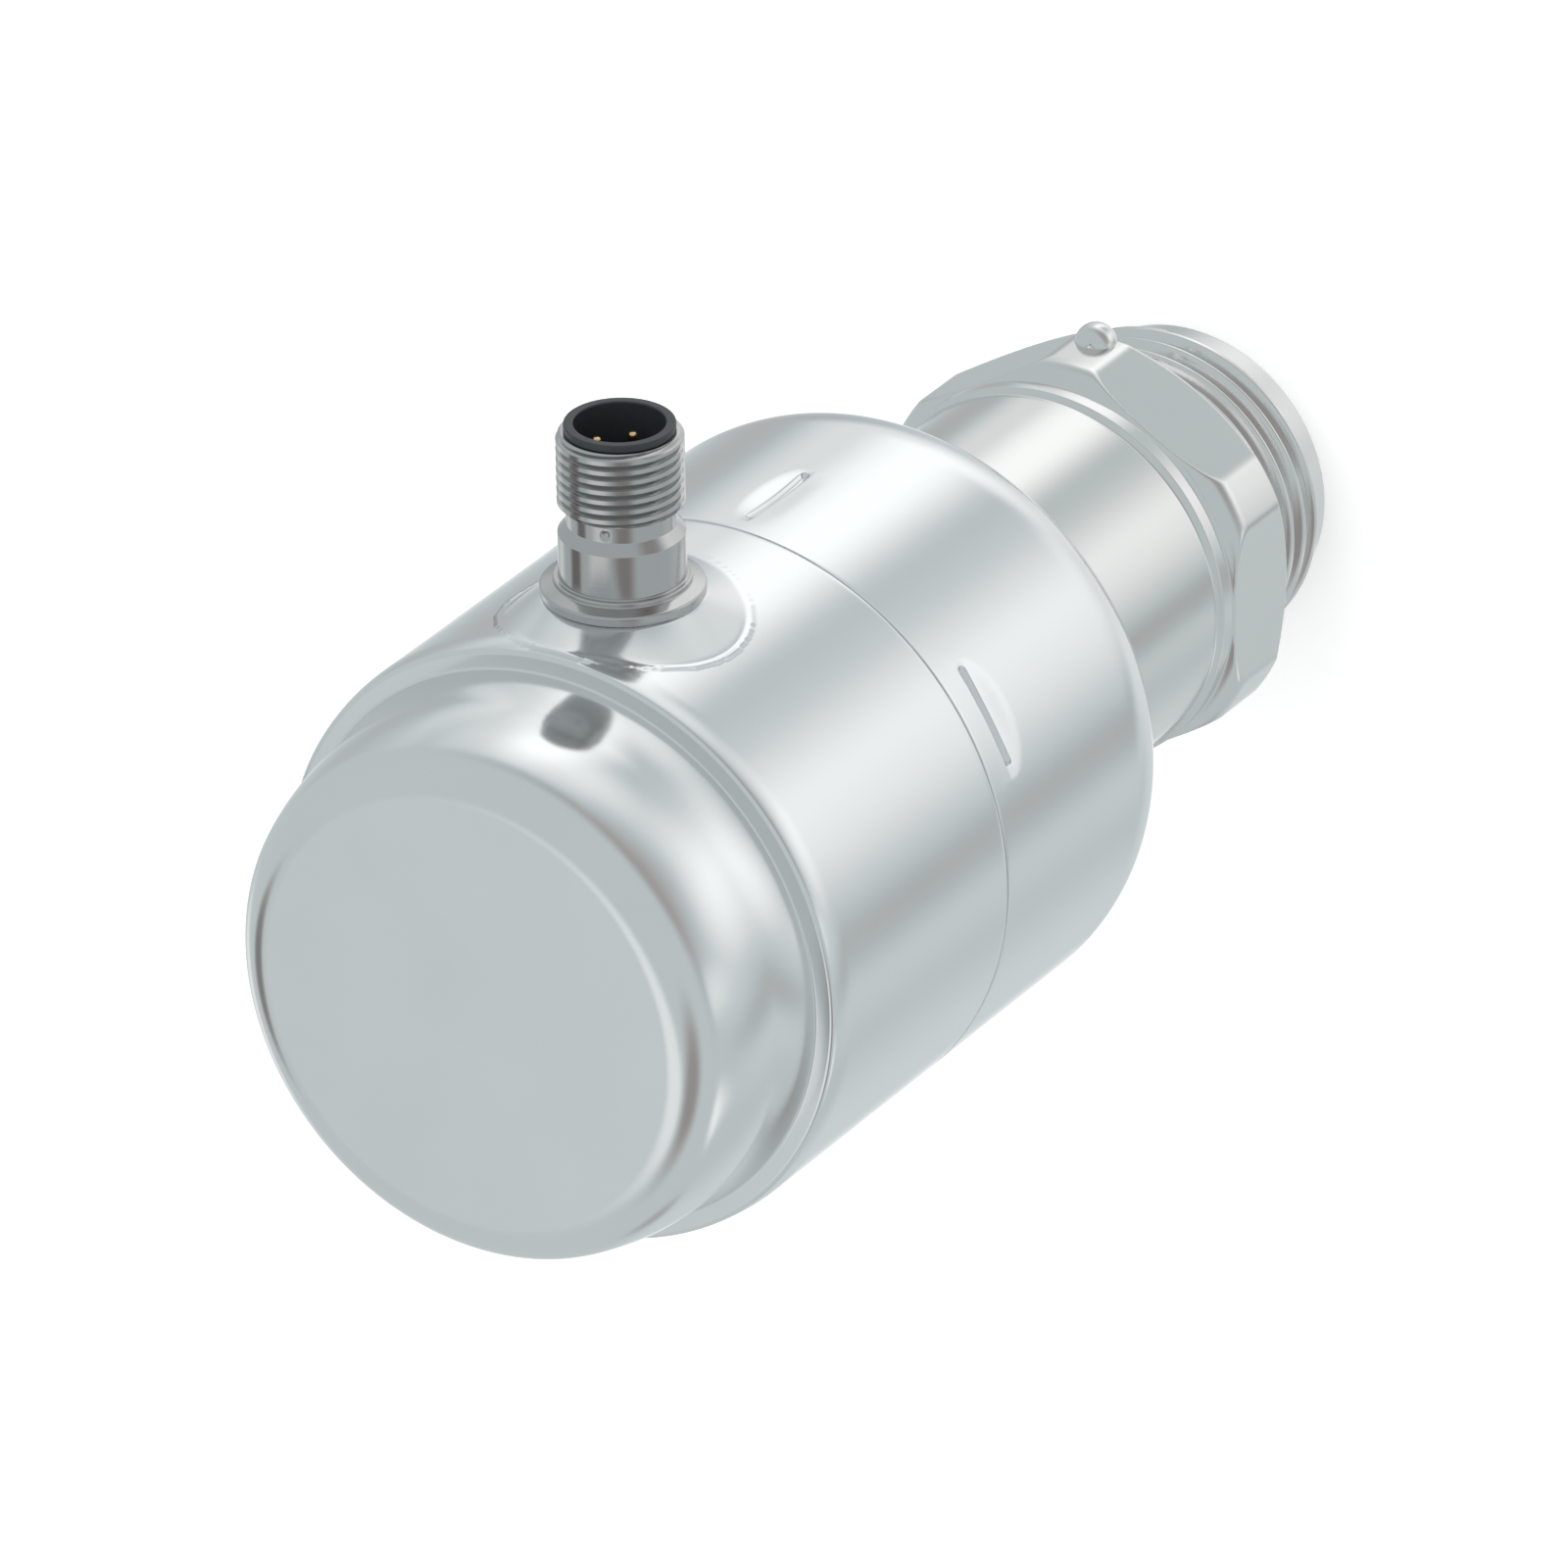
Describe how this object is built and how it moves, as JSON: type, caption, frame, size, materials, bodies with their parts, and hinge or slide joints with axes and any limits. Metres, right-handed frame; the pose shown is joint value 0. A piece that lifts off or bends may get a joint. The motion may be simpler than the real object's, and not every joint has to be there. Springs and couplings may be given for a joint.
{
  "type": "pressure sensor",
  "caption": "Round steel pressure sensor with a flush threaded process end, hexagon, long neck, a turning cylindrical housing and a plug connector on its side.",
  "frame": {"origin": "centre of the flush measuring face, on the sensor axis", "axes": "+Z along the sensor axis from the flush face to the flat front of the housing; +X along the plug connector on the side of the housing"},
  "size_m": [0.0791, 0.0606, 0.1329],
  "materials": {
    "drawn_steel": "polished",
    "turned_steel": "turned",
    "ceramic": "ground",
    "seal_rubber": "matt",
    "slide_plastic": "matt",
    "black_plastic": "moulded",
    "circuit_board": "gloss",
    "gold_contact": "plated",
    "cable_sheath": "matt"
  },
  "bodies": {
    "process_side": {"process_connection": "turned_steel", "fill_port_ball": "turned_steel", "cell_membrane": "ceramic", "cell_base": "ceramic", "cell_seal": "slide_plastic", "cell_support_ring": "slide_plastic", "cell_clamp_nut": "turned_steel", "board_spacer": "slide_plastic", "cell_board": "circuit_board", "cell_pins": "gold_contact", "cell_cable": "cable_sheath", "neck_oring": "seal_rubber", "thrust_washer": "slide_plastic", "retaining_ring": "turned_steel", "stop_pin": "turned_steel"},
    "housing": {"rear_dome": "drawn_steel", "front_shell": "drawn_steel", "bearing_bush": "slide_plastic", "joint_sleeve": "turned_steel", "seam_oring": "seal_rubber", "board_carrier": "black_plastic", "main_board": "circuit_board", "board_screws": "turned_steel", "cable_socket": "black_plastic", "processor": "black_plastic", "capacitors": "black_plastic", "inductor": "black_plastic", "wire_header": "black_plastic", "connector_wires": "cable_sheath", "connector_shell": "turned_steel", "connector_insert": "black_plastic", "contact_pins": "gold_contact", "connector_oring": "seal_rubber", "connector_nut": "turned_steel"}
  },
  "joints": [
    {"name": "housing_rotation", "type": "hinge", "parent": "process_side", "child": "housing", "pos_m": [0, 0, 0.0556], "axis": [0, 0, 1], "range_deg": [-172.5, 172.5]}
  ]
}
